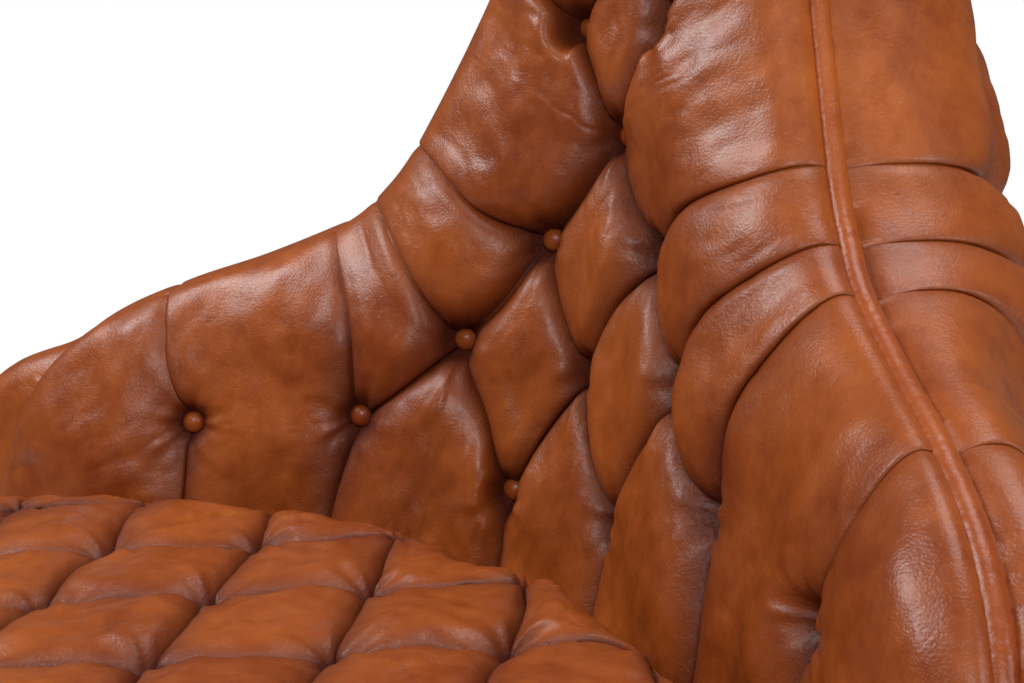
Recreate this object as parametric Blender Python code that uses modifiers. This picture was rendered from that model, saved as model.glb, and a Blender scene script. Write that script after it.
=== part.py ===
"""A deep-buttoned leather armchair: splayed low arms that sweep up into a high spoon-shaped back.

The back and the arms are one curved wall. Its middle is a sheet, and a place on the wall is given by
three numbers: how far round the sheet (along its plan curve, zero at the centre of the back), how high,
and how far off the sheet (positive outwards, negative towards the sitter). The frame lies in the sheet,
the padding lies on both sides of it, and a piping runs along its edge, over the crest and down the arm
fronts. The chair faces -Y, and X = 0 is its plane of symmetry.
"""

import math

import bmesh
import bpy
import numpy as np
from mathutils import Matrix, Vector

# --- driving dimensions, in metres ---------------------------------------------------------------
PLAN_SPLAY = 0.95  # slope that the arms' plan line tends to
PLAN_RADIUS = 0.196  # how tightly the back's middle curves in plan
SHEET_Y = 0.2583  # the sheet's middle at KNEE_Z
KNEE_Z = 0.63  # below this height the back leans more
LEAN_LOW = 0.20
LEAN_HIGH = 0.10

# The edge of the sheet from the middle of the crest to the foot of the arm front: (across, height).
CREST = (
    (0.000, 0.975),
    (0.070, 0.954),
    (0.1155, 0.891),
    (0.1442, 0.793),
    (0.1904, 0.678),
    (0.2191, 0.630),
    (0.2471, 0.602),
    (0.3010, 0.571),
    (0.3577, 0.545),
    (0.4060, 0.513),
    (0.4375, 0.464),
    (0.4480, 0.394),
    (0.4500, 0.300),
    (0.4500, 0.170),
)
CREST_STEPS = 12  # points between two of the above

FRAME_THICK = 0.040
LINING = 0.006  # slack between the frame and the back of the padding
FRAME_TOP_GAP = 0.009  # from the sheet's edge to the rail below the piping
RAIL_DEEP = 0.050
PAD_IN = 0.088  # how far the inner padding stands off the sheet
ARM_THIN = 0.30  # share by which it is thinner on the arms
ARM_THIN_SPAN = (0.17, 0.34)  # the distances round the sheet between which it thins
PAD_OUT = 0.190  # how far the outer padding stands off the sheet, along the scroll
PAD_BASE = 0.100  # and at the base
FLARE_SPAN = (0.22, 0.52)  # the heights between which it flares from one to the other
ARM_SLIM = 0.56  # share by which the scroll is thinner on the arms
ARM_SLIM_SPAN = (0.22, 0.37)
ROLL_IN = 0.0855  # depth over which the padding rolls over to the piping
ROLL_OUT = 0.150
FULL_IN = 2.0  # how full the rolls are: 2 is an ellipse, more is squarer
FULL_OUT = 3.0
ROLL_SHARE = 0.76  # the most of a line up the padding that its roll takes
FRONT_BULGE = 0.055  # how far the outer roll swells forward at the arm fronts
FRONT_SPAN = (0.44, 0.51)
FOOT_DRAW = 0.93  # the padding's lines lean: their feet are this share as far round as their tops
FOOT_SHIFT = 0.012
FOOT_RISE = 0.030  # the lowest that a line's top comes above its foot
EDGE_LIP = 0.001  # thickness left at the rolled edge
BASE_Z = 0.170  # underside of the frame
PAD_FOOT_Z = 0.285  # underside of the inner padding, just above the deck
PIPING_R = 0.0065
GAP = 0.0003
LEAN_DROP = 0.0045  # how far a leaning member's lower arris hangs below its middle
JOINT_GAP = 0.0015  # where two bent members meet end to end

SEAT_TOP_Z = 0.428
SEAT_FRONT_Y = -0.4687
SEAT_HALF_W = 0.455
SEAT_CORNER = 0.070
ARM_FRONT_SLACK = 0.022  # between an arm's front edge and the seat
SEAT_RIM = 0.034
DECK_Z = 0.2765
DECK_THICK = 0.004
RAIL_TOP_Z = 0.262
SEAT_RAIL_THICK = 0.038
BORDER_THICK = 0.018
BORDER_GAP = 0.006  # between a border and the rail behind it, plus the border's own inset
SIDE_RAIL_STOP = 0.045  # how far before the arm front a side rail ends

LEG_TOP_R = 0.030
LEG_FOOT_R = 0.017
GLIDE_R = 0.0135
GLIDE_HIGH = 0.006
# Each leg: where its top stands (x, y), and its rake back and outwards in degrees.
LEGS = {
    "front_left": (-0.395, -0.4097, 0.0, 0.0),
    "front_right": (0.395, -0.4097, 0.0, 0.0),
    "rear_left": (-0.200, 0.0973, 10.0, -4.0),
    "rear_right": (0.200, 0.0973, 10.0, 4.0),
}

WEBBING_Z = (0.36, 0.48, 0.60)  # lower edges of the strips of webbing
WEBBING_HIGH = 0.050
WEBBING_HALF_W = 0.126
DUST_INSET = 0.088
DUST_SCALE = 0.94  # the dust cover is drawn in from the seat's outline, about the chair's middle
DUST_SHIFT = 0.009
DUST_THICK = 0.0022

SPRING_X = (-0.24, -0.12, 0.0, 0.12, 0.24)
SPRING_WIRE_R = 0.0019
SPRING_HALF_W = 0.024
SPRING_PITCH = 0.034

BUTTON_R = 0.009
BUTTON_HIGH = 0.0075
BUTTON_LIFT = 0.0015  # of its back off the bottom of the tuft hole
# Each button of the inner face: how far round the sheet, its height, and how deep it sits off the sheet.
BUTTONS = {
    "f5": (0.0000, 0.856, 0.030),
    "e4": (0.0680, 0.772, 0.034),
    "d5": (0.0000, 0.692, 0.050),
    "c4": (0.0775, 0.610, 0.049),
    "b3": (0.1505, 0.528, 0.043),
    "b5": (0.0000, 0.517, 0.052),
    "a4": (0.0805, 0.417, 0.052),
    "a2": (0.2330, 0.464, 0.046),
    "a0": (0.3820, 0.450, 0.030),
}
TUFT_R = 0.0125  # radius of a tuft hole at its bottom
TUFT_LONG = 0.080
TUFT_UNDER = 0.0005  # how far the hole goes below the button's foot

# --- colours ---------------------------------------------------------------------------------------
LEATHER = (0.36, 0.115, 0.035)
LEATHER_DARK = (0.24, 0.070, 0.022)
BEECH = (0.62, 0.44, 0.27)
WALNUT = (0.095, 0.045, 0.022)
STEEL = (0.55, 0.55, 0.56)
HESSIAN = (0.50, 0.41, 0.27)
WEBBING = (0.22, 0.18, 0.12)
BLACK_CLOTH = (0.02, 0.02, 0.02)


# --- the scene ---------------------------------------------------------------------------------------
for old in list(bpy.data.objects):
    bpy.data.objects.remove(old, do_unlink=True)

CHAIR = bpy.data.collections.new("buttoned_armchair")
CUTTERS = bpy.data.collections.new("cutters")
bpy.context.scene.collection.children.link(CHAIR)
bpy.context.scene.collection.children.link(CUTTERS)
ROOT = bpy.data.objects.new("armchair_origin", None)
CHAIR.objects.link(ROOT)


def material(name, colour, roughness, metallic=0.0):
    """A plain Principled material."""
    made = bpy.data.materials.new(name)
    made.use_nodes = True
    shader = made.node_tree.nodes["Principled BSDF"]
    shader.inputs["Base Color"].default_value = (*colour, 1.0)
    shader.inputs["Roughness"].default_value = roughness
    shader.inputs["Metallic"].default_value = metallic
    return made


def add_object(name, data, colour, roughness, metallic=0.0):
    """Link data to the chair as one named sub-part with its own material."""
    obj = bpy.data.objects.new(name, data)
    obj.data.materials.append(material(name, colour, roughness, metallic))
    CHAIR.objects.link(obj)
    obj.parent = ROOT
    return obj


def add_bmesh(name, bm, colour, roughness, metallic=0.0, smooth=True):
    """Turn a bmesh into a named sub-part."""
    bmesh.ops.recalc_face_normals(bm, faces=bm.faces)
    mesh = bpy.data.meshes.new(name)
    bm.to_mesh(mesh)
    bm.free()
    if smooth:
        mesh.shade_smooth()
        mesh.set_sharp_from_angle(angle=math.radians(40))
    return add_object(name, mesh, colour, roughness, metallic)


def add_box(name, low, high, colour, roughness, rounding=0.003):
    """A box with rounded edges between two corners."""
    bm = bmesh.new()
    bmesh.ops.create_cube(bm, size=1.0)
    size = [b - a for a, b in zip(low, high)]
    bmesh.ops.scale(bm, vec=size, verts=bm.verts)
    bmesh.ops.translate(bm, vec=[(a + b) / 2 for a, b in zip(low, high)], verts=bm.verts)
    obj = add_bmesh(name, bm, colour, roughness)
    bevel = obj.modifiers.new("rounded_edges", "BEVEL")
    bevel.width = rounding
    bevel.segments = 2
    return obj


# --- the wall's sheet -----------------------------------------------------------------------------------
def plan_dip(x):
    """How far forward of its middle the sheet's plan curve lies at x."""
    return PLAN_SPLAY * (np.hypot(x, PLAN_RADIUS) - PLAN_RADIUS)


def plan_slope(x):
    return PLAN_SPLAY * x / np.hypot(x, PLAN_RADIUS)


def middle_y(z):
    """The sheet's middle line leans back, and less so above the knee."""
    lean = np.where(z < KNEE_Z, LEAN_LOW, LEAN_HIGH)
    return SHEET_Y + lean * (z - KNEE_Z)


PLAN_X = np.linspace(0.0, 0.6, 601)
PLAN_STEP = np.hypot(1.0, plan_slope((PLAN_X[1:] + PLAN_X[:-1]) / 2)) * PLAN_X[1]
PLAN_ROUND = np.concatenate([[0.0], np.cumsum(PLAN_STEP)])


def round_of(x):
    """Distance round the sheet at x."""
    return np.sign(x) * np.interp(abs(x), PLAN_X, PLAN_ROUND)


def sheet_point(around, z, off=0.0):
    """The point at a distance round the sheet and a height, moved off the sheet along its level normal."""
    x = np.sign(around) * np.interp(abs(around), PLAN_ROUND, PLAN_X)
    slope = plan_slope(x)
    level = 1.0 / math.hypot(1.0, slope)
    return Vector((x + off * slope * level, float(middle_y(z)) - plan_dip(x) + off * level, z))


def sheet_normal(around):
    return (sheet_point(around, KNEE_Z, 1.0) - sheet_point(around, KNEE_Z)).normalized()


def smooth_line(points, steps):
    """A Catmull-Rom curve through the points."""
    ends = [2 * points[0] - points[1], *points, 2 * points[-1] - points[-2]]
    line = []
    for a, b, c, d in zip(ends, ends[1:], ends[2:], ends[3:]):
        for t in np.arange(steps) / steps:
            cubic = (3 * b - a - 3 * c + d) * t**3
            line.append((2 * b + (c - a) * t + (2 * a - 5 * b + 4 * c - d) * t**2 + cubic) / 2)
    line.append(points[-1])
    return line


def half_edge():
    """The right half of the sheet's edge as (around, height) points, evenly spaced, from the crest down."""
    points = [Vector((round_of(x), z)) for x, z in CREST]
    line = smooth_line(points, CREST_STEPS)
    far = np.concatenate([[0.0], np.cumsum([(b - a).length for a, b in zip(line, line[1:])])])
    even = np.linspace(0.0, far[-1], 161)
    return np.stack([np.interp(even, far, [p[i] for p in line]) for i in (0, 1)], axis=1)


EDGE = half_edge()
EDGE_LENGTH = float(np.linalg.norm(np.diff(EDGE, axis=0), axis=1).sum())


def edge_at(share):
    """Point and inward normal at a share, 0 to 1, of the right half of the edge."""
    place = min(max(share, 0.0), 1.0) * (len(EDGE) - 1)
    at = [np.interp(place, np.arange(len(EDGE)), EDGE[:, i]) for i in (0, 1)]
    low = max(int(place) - 2, 0)
    high = min(int(place) + 3, len(EDGE) - 1)
    run = EDGE[high] - EDGE[low]
    if share <= 0.0:
        run = np.array([1.0, 0.0])
    run /= np.linalg.norm(run)
    return np.array(at), np.array([run[1], -run[0]])


def share_at_height(z):
    """The share of the half edge where it comes down to height z."""
    return float(np.interp(-z, -EDGE[:, 1], np.linspace(0.0, 1.0, len(EDGE))))


def clear_height(around, depth):
    """The greatest height at which a point of the sheet is at least depth inside its edge."""
    levels = np.linspace(BASE_Z + 0.05, CREST[0][1], 400)
    mirrored = np.concatenate([EDGE * [-1, 1], EDGE])
    reach = [np.hypot(*(mirrored - [around, z]).T).min() for z in levels]
    inside = [z for z, far in zip(levels, reach) if far >= depth and z < np.interp(abs(around), *EDGE.T)]
    return max(inside)


# --- the frame ---------------------------------------------------------------------------------------
def sheet_strip(name, left, right, colour=BEECH, thick=FRAME_THICK, off=0.0):
    """A wooden member that follows the sheet between two lines of (around, height) points."""
    bm = bmesh.new()
    rows = [[bm.verts.new(sheet_point(*point, off)) for point in line] for line in (left, right)]
    for i in range(len(left) - 1):
        bm.faces.new((rows[0][i], rows[0][i + 1], rows[1][i + 1], rows[1][i]))
    obj = add_bmesh(name, bm, colour, 0.6)
    solid = obj.modifiers.new("thickness", "SOLIDIFY")
    solid.thickness = thick
    solid.offset = 0.0
    solid.use_even_offset = True
    return obj


def edge_strip(name, first, last, side, count):
    """A rail below the piping, from one share of the half edge to another."""
    outer, inner = [], []
    for share in np.linspace(first, last, count):
        at, inward = edge_at(abs(share))
        sign = side if side else (1.0 if share >= 0 else -1.0)
        for line, depth in ((outer, FRAME_TOP_GAP), (inner, FRAME_TOP_GAP + RAIL_DEEP)):
            place = at + inward * depth
            line.append((sign * place[0], place[1]))
    return sheet_strip(name, outer, inner)


def level_strip(name, first, last, low, high, count, **more):
    """A member between two heights and two distances round the sheet."""
    line = np.linspace(first, last, count)
    return sheet_strip(name, [(a, low) for a in line], [(a, high) for a in line], **more)


CREST_END = 0.37  # share of the half edge where the crest rail meets the arm rail
POST_START = share_at_height(0.500)
EDGE_GAP = JOINT_GAP / EDGE_LENGTH
BACK_RAIL_END = 0.260
WING_RAIL_END = round_of(CREST[-1][0]) - FRAME_TOP_GAP


def frame_wall():
    """Rails and posts that lie in the sheet."""
    edge_strip("crest_rail", -CREST_END, CREST_END, 0, 45)
    for side, name in ((-1.0, "left"), (1.0, "right")):
        edge_strip(f"arm_rail_{name}", CREST_END + EDGE_GAP, POST_START, side, 18)
        edge_strip(f"arm_front_post_{name}", POST_START + EDGE_GAP, 1.0, side, 14)
        inner = WING_RAIL_END - RAIL_DEEP - JOINT_GAP
        ends = (side * (BACK_RAIL_END + JOINT_GAP), side * inner)
        level_strip(f"wing_rail_{name}", *ends, BASE_Z + LEAN_DROP, RAIL_TOP_Z, 8)
        around = side * 0.105
        half = 0.022
        places = (around - half, around + half)
        top = min(clear_height(a, FRAME_TOP_GAP + RAIL_DEEP + JOINT_GAP) for a in places)
        heights = np.linspace(RAIL_TOP_Z + GAP, top, 6)
        lines = [[(a, z) for z in heights] for a in places]
        sheet_strip(f"back_post_{name}", *lines)
    level_strip("back_rail", -BACK_RAIL_END, BACK_RAIL_END, BASE_Z + LEAN_DROP, RAIL_TOP_Z, 17)


def frame_seat():
    """Straight seat rails in front of the arms, with corner blocks."""
    front_y = SEAT_FRONT_Y + BORDER_THICK + BORDER_GAP
    back_of_front = front_y + SEAT_RAIL_THICK
    side_x = SEAT_HALF_W - BORDER_THICK - BORDER_GAP
    add_box("front_rail", (-side_x, front_y, BASE_Z), (side_x, back_of_front, RAIL_TOP_Z), BEECH, 0.6)
    foot = sheet_point(round_of(CREST[-1][0]), BASE_Z, 0.0)
    for side, name in ((-1, "left"), (1, "right")):
        ends = sorted((side * side_x, side * (side_x - SEAT_RAIL_THICK)))
        low = (ends[0], back_of_front + GAP, BASE_Z)
        high = (ends[1], foot.y - SIDE_RAIL_STOP, RAIL_TOP_Z)
        add_box(f"side_rail_{name}", low, high, BEECH, 0.6)
        corner = (side * (side_x - SEAT_RAIL_THICK - GAP), back_of_front + GAP)
        corner_block(f"corner_block_{name}", corner, side)


def corner_block(name, corner, side, leg=0.070, low=0.185, high=0.245):
    """A triangular glue block in the angle between the front rail and a side rail."""
    outline = (corner, (corner[0] - side * leg, corner[1]), (corner[0], corner[1] + leg))
    bm = bmesh.new()
    base = bm.faces.new([bm.verts.new((*point, low)) for point in outline])
    grown = bmesh.ops.extrude_face_region(bm, geom=[base])["geom"]
    tops = [item for item in grown if isinstance(item, bmesh.types.BMVert)]
    bmesh.ops.translate(bm, vec=(0, 0, high - low), verts=tops)
    add_bmesh(name, bm, BEECH, 0.7, smooth=False)


# --- legs -----------------------------------------------------------------------------------------------
def turned(name, profile, place, colour, roughness, metallic=0.0, steps=16):
    """A turned piece: the (radius, height) profile runs down its outer side."""
    bm = bmesh.new()
    verts = [bm.verts.new((r, 0, z)) for r, z in profile]
    for a, b in zip(verts, verts[1:]):
        bm.edges.new((a, b))
    mesh = bpy.data.meshes.new(name)
    bm.to_mesh(mesh)
    bm.free()
    obj = add_object(name, mesh, colour, roughness, metallic)
    screw = obj.modifiers.new("turned", "SCREW")
    screw.steps = steps
    screw.render_steps = steps
    screw.use_merge_vertices = True
    screw.merge_threshold = 0.0001
    screw.use_smooth_shade = True
    obj.location = place
    return obj


def leg_profile(height):
    """A vase-turned leg: a collar, a swelling and a taper down to the foot."""
    rows = (
        (0.000, 1.00),
        (LEG_TOP_R, 1.00),
        (LEG_TOP_R, 0.88),
        (LEG_TOP_R * 0.72, 0.84),
        (LEG_TOP_R * 0.70, 0.80),
        (LEG_TOP_R * 0.92, 0.74),
        (LEG_TOP_R * 1.02, 0.66),
        (LEG_TOP_R * 0.98, 0.55),
        (LEG_TOP_R * 0.80, 0.35),
        (LEG_FOOT_R * 1.12, 0.16),
        (LEG_FOOT_R * 1.00, 0.12),
        (LEG_FOOT_R * 1.20, 0.08),
        (LEG_FOOT_R * 1.20, 0.03),
        (LEG_FOOT_R, 0.00),
        (0.000, 0.00),
    )
    return [(r, z * height) for r, z in rows]


def legs():
    """Four turned legs, the rear pair raked, each on a flat steel glide."""
    top = BASE_Z - GAP
    foot_z = GLIDE_HIGH + GAP
    for name, (x, y, back, out) in LEGS.items():
        rake = (math.radians(back), math.radians(out))
        drop = top - foot_z
        shift = (drop * math.tan(rake[1]), drop * math.tan(rake[0]))
        foot = Vector((x + shift[0], y + shift[1], foot_z))
        leg = turned(f"leg_{name}", leg_profile(drop), foot, WALNUT, 0.35)
        rise = Matrix.Identity(4)
        rise[0][2] = -shift[0] / drop
        rise[1][2] = -shift[1] / drop
        shear_evaluated(leg, rise)
        disc = [
            (0, GLIDE_HIGH),
            (GLIDE_R, GLIDE_HIGH),
            (GLIDE_R, GLIDE_HIGH * 0.2),
            (GLIDE_R * 0.86, 0),
            (0, 0),
        ]
        turned(f"glide_{name}", disc, (foot.x, foot.y, 0), STEEL, 0.3, 1.0)


def shear_evaluated(obj, matrix):
    """Replace a turned object's mesh by its evaluated mesh, leaned over with its ends kept level."""
    graph = bpy.context.evaluated_depsgraph_get()
    mesh = bpy.data.meshes.new_from_object(obj.evaluated_get(graph))
    mesh.transform(matrix)
    obj.modifiers.clear()
    obj.data = mesh


# --- springs, webbing, deck, dust cover --------------------------------------------------------------------
def seat_outline(inset, front_in=0.0):
    """The seat's plan outline, anticlockwise from the front: wide before the arms, then along the wall."""
    half = SEAT_HALF_W - front_in
    front = SEAT_FRONT_Y + front_in
    corner = SEAT_CORNER
    arm_front_y = sheet_point(round_of(CREST[-1][0]), PAD_FOOT_Z).y - ARM_FRONT_SLACK - inset
    right = []
    for angle in np.linspace(0, math.pi / 2, 6):
        across = half - corner + corner * math.sin(angle)
        right.append((across, front + corner - corner * math.cos(angle)))
    right += [(half, arm_front_y - 0.030), (half - 0.010, arm_front_y - 0.006)]
    for around in np.linspace(WING_RAIL_END - 0.030, 0.0, 14):
        off = pad_depth(around, PAD_FOOT_Z, -1) + inset
        right.append(tuple(sheet_point(around, PAD_FOOT_Z, -off).xy))
    left = [(-x, y) for x, y in reversed(right) if x > 1e-6]
    return right + left


def add_plate(name, outline, low, high, colour, roughness, rim=0.0, rim_steps=3):
    """A flat solid on a plan outline, with a rounded upper rim if rim is given."""
    bm = bmesh.new()
    base = bm.faces.new([bm.verts.new((*point, low)) for point in outline])
    grown = bmesh.ops.extrude_face_region(bm, geom=[base])["geom"]
    tops = {item for item in grown if isinstance(item, bmesh.types.BMVert)}
    bmesh.ops.translate(bm, vec=(0, 0, high - low), verts=list(tops))
    if rim:
        edges = [edge for edge in bm.edges if set(edge.verts) <= tops]
        bmesh.ops.bevel(bm, geom=edges, offset=rim, segments=rim_steps, affect="EDGES", profile=0.5)
    return add_bmesh(name, bm, colour, roughness)


def spring(name, x):
    """A zigzag spring wire from the front rail to the back rail, arched a little upwards."""
    front = SEAT_FRONT_Y + BORDER_THICK + BORDER_GAP + SEAT_RAIL_THICK + 0.003
    outer_x = abs(x) + SPRING_HALF_W
    back = sheet_point(round_of(outer_x), BASE_Z, -FRAME_THICK / 2).y - 0.006
    turns = int((back - front) / SPRING_PITCH)
    pitch = (back - front) / turns
    points = []
    for i in range(turns * 4 + 1):
        share = i / (turns * 4)
        swing = math.sin(math.tau * i / 8) * SPRING_HALF_W
        along = front + pitch * turns * share
        lift = 4 * share * (1 - share) * 0.008
        points.append((x + swing, along, RAIL_TOP_Z - 0.012 + lift))
    curve = bpy.data.curves.new(name, "CURVE")
    curve.dimensions = "3D"
    curve.bevel_depth = SPRING_WIRE_R
    curve.bevel_resolution = 0
    curve.use_fill_caps = True
    line = curve.splines.new("POLY")
    line.points.add(len(points) - 1)
    for point, place in zip(line.points, points):
        point.co = (*place, 1.0)
    add_object(name, curve, STEEL, 0.35, 1.0)


def suspension():
    """Seat springs and deck, webbing behind the back padding, and the dust cover under the frame."""
    for i, x in enumerate(SPRING_X):
        spring(f"seat_spring_{i + 1}", x)
    add_plate("seat_deck", seat_outline(0.002, 0.004), DECK_Z, DECK_Z + DECK_THICK, HESSIAN, 0.95)
    reach = WEBBING_HALF_W
    inner = -(FRAME_THICK + LINING) / 2
    for i, z in enumerate(WEBBING_Z):
        name = f"back_webbing_{i + 1}"
        level_strip(name, -reach, reach, z, z + WEBBING_HIGH, 12, colour=WEBBING, thick=0.002, off=inner)
    outline = seat_outline(DUST_INSET, DUST_INSET)
    dust = [(x * DUST_SCALE, y * DUST_SCALE - DUST_SHIFT) for x, y in outline]
    add_plate("dust_cover", dust, BASE_Z - DUST_THICK - GAP, BASE_Z - GAP, BLACK_CLOTH, 0.9)


# --- padding -----------------------------------------------------------------------------------------------
def ease(value, low, high):
    """A smooth step from 0 at low to 1 at high."""
    x = min(max((value - low) / (high - low), 0.0), 1.0)
    return x * x * (3 - 2 * x)


def pad_depth(around, z, side_of_sheet):
    """How far the padding stands off the sheet at a place away from its rolled edge."""
    if side_of_sheet < 0:
        return PAD_IN * (1 - ARM_THIN * ease(around, *ARM_THIN_SPAN))
    scroll = PAD_OUT * (1 - ARM_SLIM * ease(around, *ARM_SLIM_SPAN))
    return PAD_BASE + (scroll - PAD_BASE) * ease(z, *FLARE_SPAN)


def pad_station(share, foot_z, side_of_sheet, rows=6, roll_rows=6):
    """One line up the padding as (around, height, off), from its foot to the crest, and its back line."""
    inner = side_of_sheet < 0
    at, inward = edge_at(share)
    foot = np.array([min(at[0] * FOOT_DRAW + FOOT_SHIFT * share, WING_RAIL_END - 0.004), foot_z])
    at = np.array([at[0], max(at[1], foot_z + FOOT_RISE)])
    roll = min(ROLL_IN if inner else ROLL_OUT, ROLL_SHARE * float(np.hypot(*(at - foot))))
    swell = 0.0 if inner else FRONT_BULGE * ease(at[0], *FRONT_SPAN)
    full = FULL_IN if inner else FULL_OUT
    knee = at + inward * roll
    places = [(foot * (1 - t) + knee * t, 1.0) for t in np.linspace(0, 1, rows, endpoint=False)]
    edge_off = FRAME_THICK / 2 + LINING
    high_share = edge_off / pad_depth(*at, side_of_sheet)
    last = 1.0 - (1.0 - high_share**full) ** (1 / full)
    for across in np.linspace(1.0, math.sqrt(last), roll_rows) ** 2:
        height_share = (1.0 - (1.0 - across) ** full) ** (1 / full)
        depth = roll * across - swell * math.sin(math.pi * height_share)
        places.append((at + inward * depth, height_share))
    front = [(*p, side_of_sheet * pad_depth(*p, side_of_sheet) * h) for p, h in places]
    back = [(*p, side_of_sheet * edge_off) for p, _ in places]
    front[-1] = (*front[-1][:2], side_of_sheet * (edge_off + EDGE_LIP))
    return front, back


def add_pad(name, shares, mirror, foot_z, side_of_sheet):
    """A closed pad on one side of the sheet, lofted through stations along its edge."""
    bm = bmesh.new()
    fronts, backs = [], []
    for share in shares:
        front, back = pad_station(abs(share), foot_z, side_of_sheet)
        sign = mirror if mirror else (1.0 if share >= 0 else -1.0)
        for store, line in ((fronts, front), (backs, back)):
            store.append([bm.verts.new(sheet_point(sign * a, z, off)) for a, z, off in line])
    last = len(fronts) - 1
    for i in range(last):
        for j in range(len(fronts[0]) - 1):
            for grid in (fronts, backs):
                bm.faces.new((grid[i][j], grid[i + 1][j], grid[i + 1][j + 1], grid[i][j + 1]))
        for j in (0, -1):
            bm.faces.new((fronts[i][j], fronts[i + 1][j], backs[i + 1][j], backs[i][j]))
    for i in (0, last):
        for j in range(len(fronts[0]) - 1):
            bm.faces.new((fronts[i][j], fronts[i][j + 1], backs[i][j + 1], backs[i][j]))
    return add_bmesh(name, bm, LEATHER, 0.45)


BACK_PAD_END = 0.46  # share of the half edge where the back padding meets the arm padding


def wall_pads():
    """Padding inside and outside the sheet, each in three lengths."""
    seam = 2 * GAP / EDGE_LENGTH
    pads = []
    for face, side_of_sheet, foot_z in (("inner", -1, PAD_FOOT_Z), ("outer", 1, BASE_Z + 0.001)):
        middle = np.linspace(-BACK_PAD_END, BACK_PAD_END, 23)
        pads.append(add_pad(f"{face}_back_pad", middle, 0, foot_z, side_of_sheet))
        for side, name in ((-1.0, "left"), (1.0, "right")):
            shares = np.linspace(BACK_PAD_END + seam, share_at_height(foot_z + FOOT_RISE), 14)
            pads.append(add_pad(f"{face}_arm_pad_{name}", shares, side, foot_z, side_of_sheet))
    return pads


def seat_pad():
    """The buttoned seat in front of the wall, and the leather bands that cover the rails."""
    low = DECK_Z + DECK_THICK + GAP
    add_plate("seat_pad", seat_outline(0.018), low, SEAT_TOP_Z, LEATHER, 0.45, SEAT_RIM)
    front = SEAT_FRONT_Y + 0.005
    top = DECK_Z - GAP
    bottom = BASE_Z - 0.006
    side_x = SEAT_HALF_W - 0.005
    back = sheet_point(round_of(CREST[-1][0]), BASE_Z).y - ARM_FRONT_SLACK
    low_end = (-side_x, front, bottom)
    high_end = (side_x, front + BORDER_THICK, top)
    add_box("front_border", low_end, high_end, LEATHER, 0.45, 0.006)
    for side, name in ((-1, "left"), (1, "right")):
        ends = sorted((side * side_x, side * (side_x - BORDER_THICK)))
        start = front + BORDER_THICK + GAP
        low_end = (ends[0], start, bottom)
        high_end = (ends[1], back, top)
        add_box(f"side_border_{name}", low_end, high_end, LEATHER, 0.45, 0.006)


def crest_piping():
    """The corded edge over the crest and down both arm fronts."""
    shares = np.linspace(1.0, 0.0, 40)
    points = [(-edge_at(s)[0][0], edge_at(s)[0][1]) for s in shares]
    points += [(edge_at(s)[0][0], edge_at(s)[0][1]) for s in shares[-2::-1]]
    curve = bpy.data.curves.new("crest_piping", "CURVE")
    curve.dimensions = "3D"
    curve.bevel_depth = PIPING_R
    curve.bevel_resolution = 2
    curve.use_fill_caps = True
    line = curve.splines.new("POLY")
    line.points.add(len(points) - 1)
    for point, place in zip(line.points, points):
        point.co = (*sheet_point(*place), 1.0)
    add_object("crest_piping", curve, LEATHER_DARK, 0.4)


# --- buttons -------------------------------------------------------------------------------------------------
def button_places():
    """Name, foot and outward direction of each button, with the mirrored ones."""
    for name, (around, z, depth) in BUTTONS.items():
        for side in ((1.0,) if around == 0.0 else (-1.0, 1.0)):
            label = name
            if around and side > 0:
                label = name[0] + str(10 - int(name[1]))
            foot = sheet_point(side * around, z, -depth)
            yield label, foot, -sheet_normal(side * around)


def buttons(pads):
    """Covered buttons, each in a tuft hole of the inner padding."""
    bm = bmesh.new()
    for label, foot, way in button_places():
        turn = way.to_track_quat("Z", "Y").to_matrix().to_4x4()
        place = Matrix.Translation(foot + way * (TUFT_LONG / 2 - TUFT_UNDER)) @ turn
        bmesh.ops.create_cone(
            bm,
            cap_ends=True,
            segments=10,
            radius1=TUFT_R,
            radius2=TUFT_R * 1.7,
            depth=TUFT_LONG,
            matrix=place,
        )
        dome = [(0, BUTTON_HIGH)]
        for angle in np.linspace(0, math.pi / 2, 5)[1:]:
            dome.append((BUTTON_R * math.sin(angle), BUTTON_HIGH * math.cos(angle)))
        dome += [(BUTTON_R * 0.9, -0.0008), (0, -0.0008)]
        seat = foot + way * BUTTON_LIFT
        button = turned(f"button_{label}", dome, seat, LEATHER_DARK, 0.4, steps=10)
        button.rotation_euler = turn.to_euler()
    mesh = bpy.data.meshes.new("tuft_holes")
    bm.to_mesh(mesh)
    bm.free()
    cutter = bpy.data.objects.new("tuft_holes", mesh)
    cutter.hide_render = True
    cutter.display_type = "WIRE"
    CUTTERS.objects.link(cutter)
    for pad in pads:
        if pad.name.startswith("inner"):
            cut = pad.modifiers.new("tuft_holes", "BOOLEAN")
            cut.operation = "DIFFERENCE"
            cut.object = cutter


frame_wall()
frame_seat()
legs()
suspension()
seat_pad()
crest_piping()
buttons(wall_pads())
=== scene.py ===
import math

import bmesh
import bpy
import numpy as np
from mathutils import Matrix, Vector


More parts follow.
